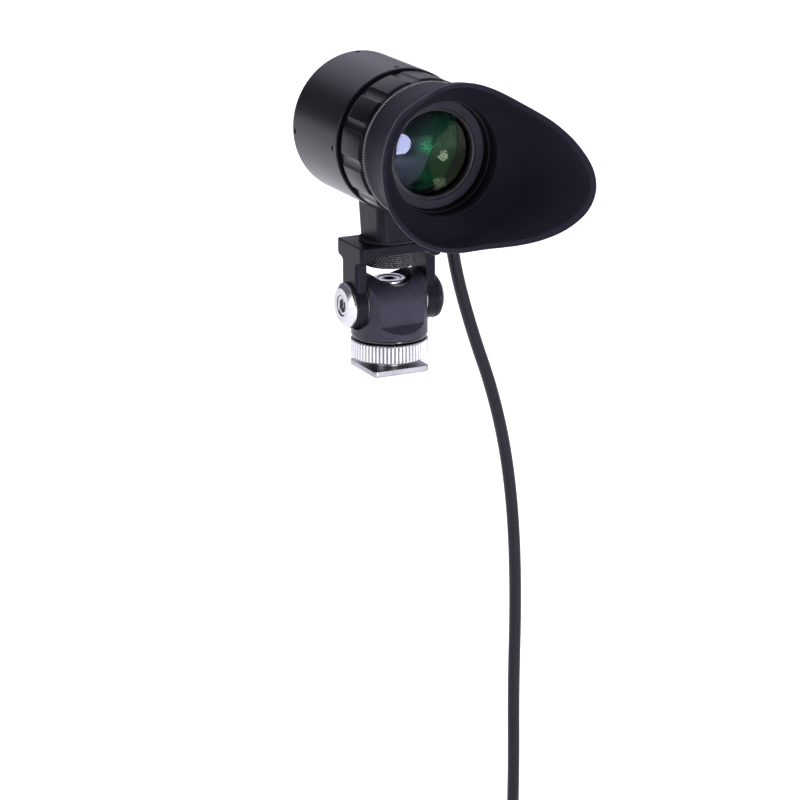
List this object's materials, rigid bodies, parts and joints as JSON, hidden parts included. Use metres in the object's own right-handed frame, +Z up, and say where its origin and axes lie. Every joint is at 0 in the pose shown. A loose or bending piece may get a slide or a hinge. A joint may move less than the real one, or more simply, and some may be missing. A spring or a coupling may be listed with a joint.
{
  "type": "external camera monitor",
  "caption": "Electronic viewfinder tube with a focusing eyepiece and shaped rubber eyecup, on a tilt and swivel bracket for an accessory shoe, with a plug-ended lead.",
  "frame": {"origin": "centre of the underside of the shoe foot", "axes": "+Z up along the swivel axis, -Y from the display towards the eye, +X to the right of someone who stands in front of the eyepiece"},
  "size_m": [0.087, 0.1076, 0.3406],
  "materials": {
    "black_anodised": "fine satin black anodised",
    "black_satin_tube": "soft satin black anodised tube",
    "bright_aluminium": "bright machined serrations",
    "bright_steel": "turned, nickel bright",
    "black_steel": "blackened steel",
    "plain_steel": "plain spring and pin steel",
    "foot_steel": "satin nickel",
    "washer_plastic": "black nylon",
    "clear_washer": "natural nylon",
    "gloss_disc": "polished black",
    "pad_rubber": "mottled matte black",
    "eyecup_rubber": "moulded matte black",
    "cord_jacket": "smooth black jacket",
    "moulded_black": "fine moulded black",
    "retainer_black": "satin dark grey",
    "lens_glass": "polished, green and purple coating",
    "panel_glass": "display glass",
    "light_plastic": "white light guide",
    "board_green": "green solder mask, black chips",
    "ribbon_orange": "orange film cable",
    "pillar_brass": "turned brass",
    "tongue_plastic": "white insulator"
  },
  "bodies": {
    "shoe": {"shoe_foot": "foot_steel", "pan_bolt": "bright_steel", "pan_washer": "clear_washer"},
    "pressure_washer": {"pressure_washer": "black_steel"},
    "lock_wheel": {"lock_wheel": "bright_aluminium"},
    "swivel": {"pivot_block": "black_anodised", "base_disc": "gloss_disc", "friction_washers": "clear_washer", "outer_washers": "washer_plastic", "pivot_screw_left": "bright_steel", "pivot_screw_right": "black_steel"},
    "yoke": {"yoke": "black_anodised", "rubber_pad": "pad_rubber"},
    "thumb_wheel": {"thumb_wheel": "black_anodised", "mount_stud": "plain_steel"},
    "head": {"mount_post": "black_anodised", "post_screws": "plain_steel", "housing_tube": "black_satin_tube", "rear_cap": "black_satin_tube", "rear_cap_screws": "black_steel", "front_flange": "black_anodised", "flange_screws": "black_steel", "guide_pins": "plain_steel", "snap_ring": "plain_steel", "light_baffle": "moulded_black", "panel_frame": "moulded_black", "display_panel": "panel_glass", "backlight": "light_plastic", "driver_board": "board_green", "board_pillars": "pillar_brass", "ribbon_cable": "ribbon_orange", "cable_gland": "moulded_black", "lead_tail": "cord_jacket", "lead_connector": "tongue_plastic", "cord": "cord_jacket", "plug_boot": "cord_jacket", "plug_body": "moulded_black", "plug_shell": "bright_steel", "plug_tongue": "tongue_plastic"},
    "focus_ring": {"focus_ring": "black_satin_tube"},
    "lens_cell": {"lens_barrel": "black_anodised", "field_lens": "lens_glass", "lens_spacer": "black_anodised", "eye_lens": "lens_glass", "retaining_ring": "retainer_black", "beaded_ring": "black_satin_tube", "eyecup_mount": "black_anodised"},
    "eyecup": {"eyecup": "eyecup_rubber"}
  },
  "joints": [
    {"name": "pan", "type": "hinge", "parent": "shoe", "child": "swivel", "pos_m": [0, 0, 0.01105], "axis": [0, 0, 1], "continuous": true},
    {"name": "tilt", "type": "hinge", "parent": "swivel", "child": "yoke", "pos_m": [0, 0, 0.02156], "axis": [1, 0, 0], "range_deg": [-90, 90]},
    {"name": "thumb_turn", "type": "hinge", "parent": "yoke", "child": "thumb_wheel", "pos_m": [0, 0, 0.0357], "axis": [0, 0, 1], "continuous": true},
    {"name": "head_turn", "type": "hinge", "parent": "yoke", "child": "head", "pos_m": [0, 0, 0.04151], "axis": [0, 0, 1], "continuous": true},
    {"name": "focus_turn", "type": "hinge", "parent": "head", "child": "focus_ring", "pos_m": [0, -0.018, 0.0728], "axis": [0, 1, 0], "range_deg": [0, 120]},
    {"name": "lens_slide", "type": "slide", "parent": "head", "child": "lens_cell", "axis": [0, -1, 0], "range_m": [0, 0.003]},
    {"name": "cup_turn", "type": "hinge", "parent": "lens_cell", "child": "eyecup", "pos_m": [0, -0.03, 0.0728], "axis": [0, 1, 0], "continuous": true},
    {"name": "washer_rise", "type": "slide", "parent": "shoe", "child": "pressure_washer", "axis": [0, 0, 1], "range_m": [0, 0.0004]},
    {"name": "wheel_turn", "type": "hinge", "parent": "pressure_washer", "child": "lock_wheel", "pos_m": [0, 0, 0.0072], "axis": [0, 0, 1], "range_deg": [0, 190]}
  ],
  "couplings": [
    {"joint": "lens_slide", "follows": "focus_turn", "m_per_rad": 0.001432},
    {"joint": "washer_rise", "follows": "wheel_turn", "m_per_rad": 0.0001206}
  ]
}
